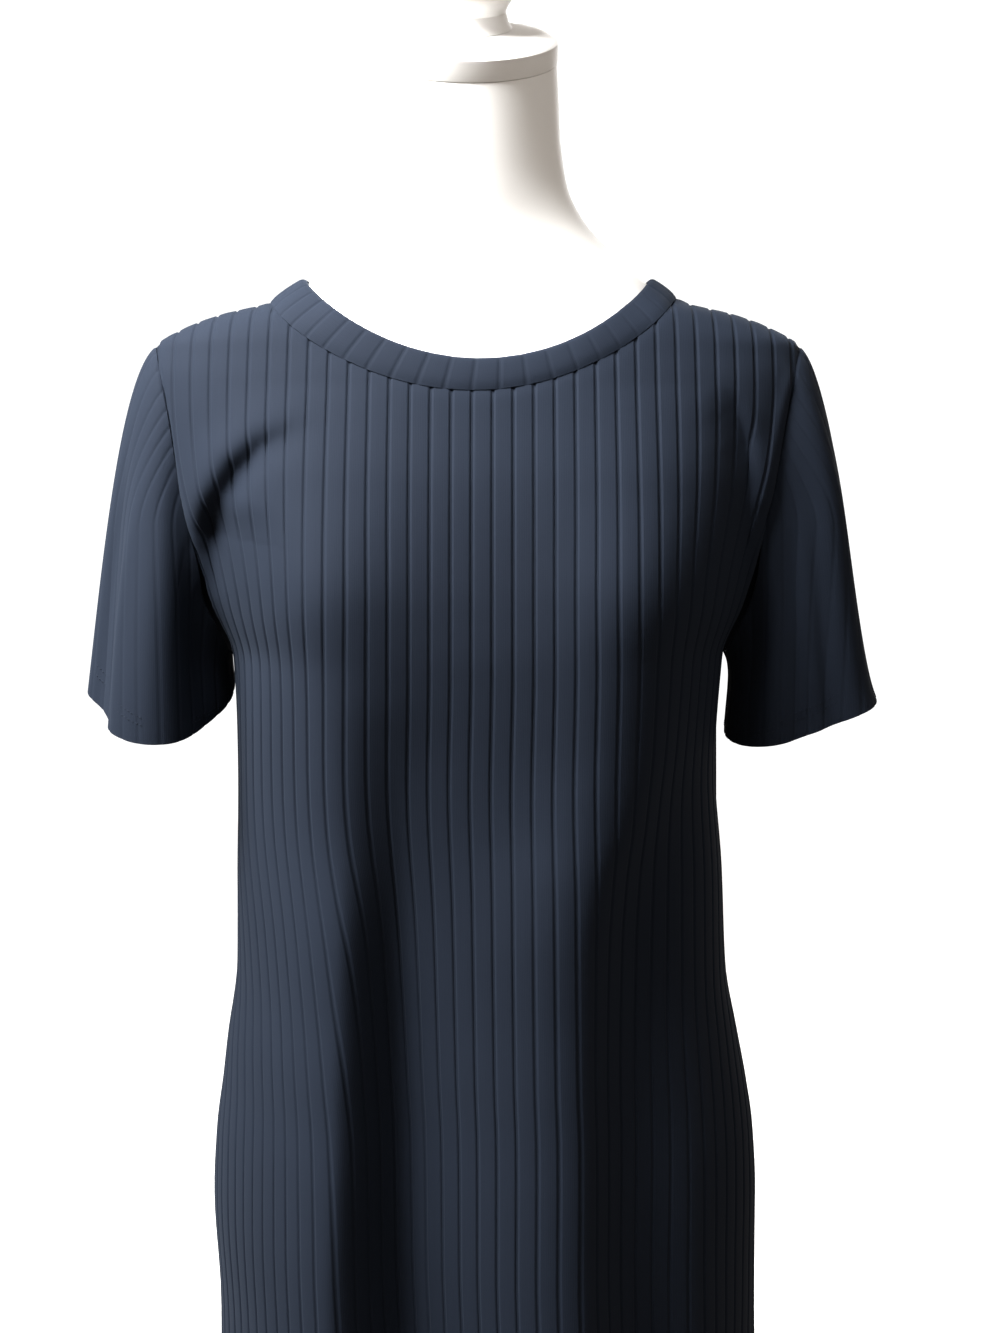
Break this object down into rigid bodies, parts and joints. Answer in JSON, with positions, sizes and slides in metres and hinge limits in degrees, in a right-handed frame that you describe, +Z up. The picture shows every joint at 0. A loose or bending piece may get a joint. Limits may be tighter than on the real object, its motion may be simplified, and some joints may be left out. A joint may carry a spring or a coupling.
{
  "type": "rib-knit t-shirt dress on a dress form",
  "caption": "Dark navy rib-knit T-shirt dress, short set-in sleeves, round ribbed neckband and flared skirt in soft flutes, on a white limbless dress form with a round-based stand.",
  "frame": {"origin": "centre of the stand base's underside, on the floor", "axes": "+Z up, the dress's front faces -Y, the wearer's left is +X"},
  "size_m": [0.5103, 0.3505, 1.6412],
  "materials": {
    "rib_knit": "matt rib knit",
    "form_shell": "smooth satin white",
    "stand_steel": "satin"
  },
  "bodies": {
    "root": {"front_panel": "rib_knit", "back_panel": "rib_knit", "sleeve_left": "rib_knit", "sleeve_right": "rib_knit", "neckband": "rib_knit", "form_torso": "form_shell", "form_neck_cap": "form_shell", "form_knob": "form_shell", "stand_pole": "stand_steel", "stand_base": "stand_steel"}
  },
  "joints": []
}
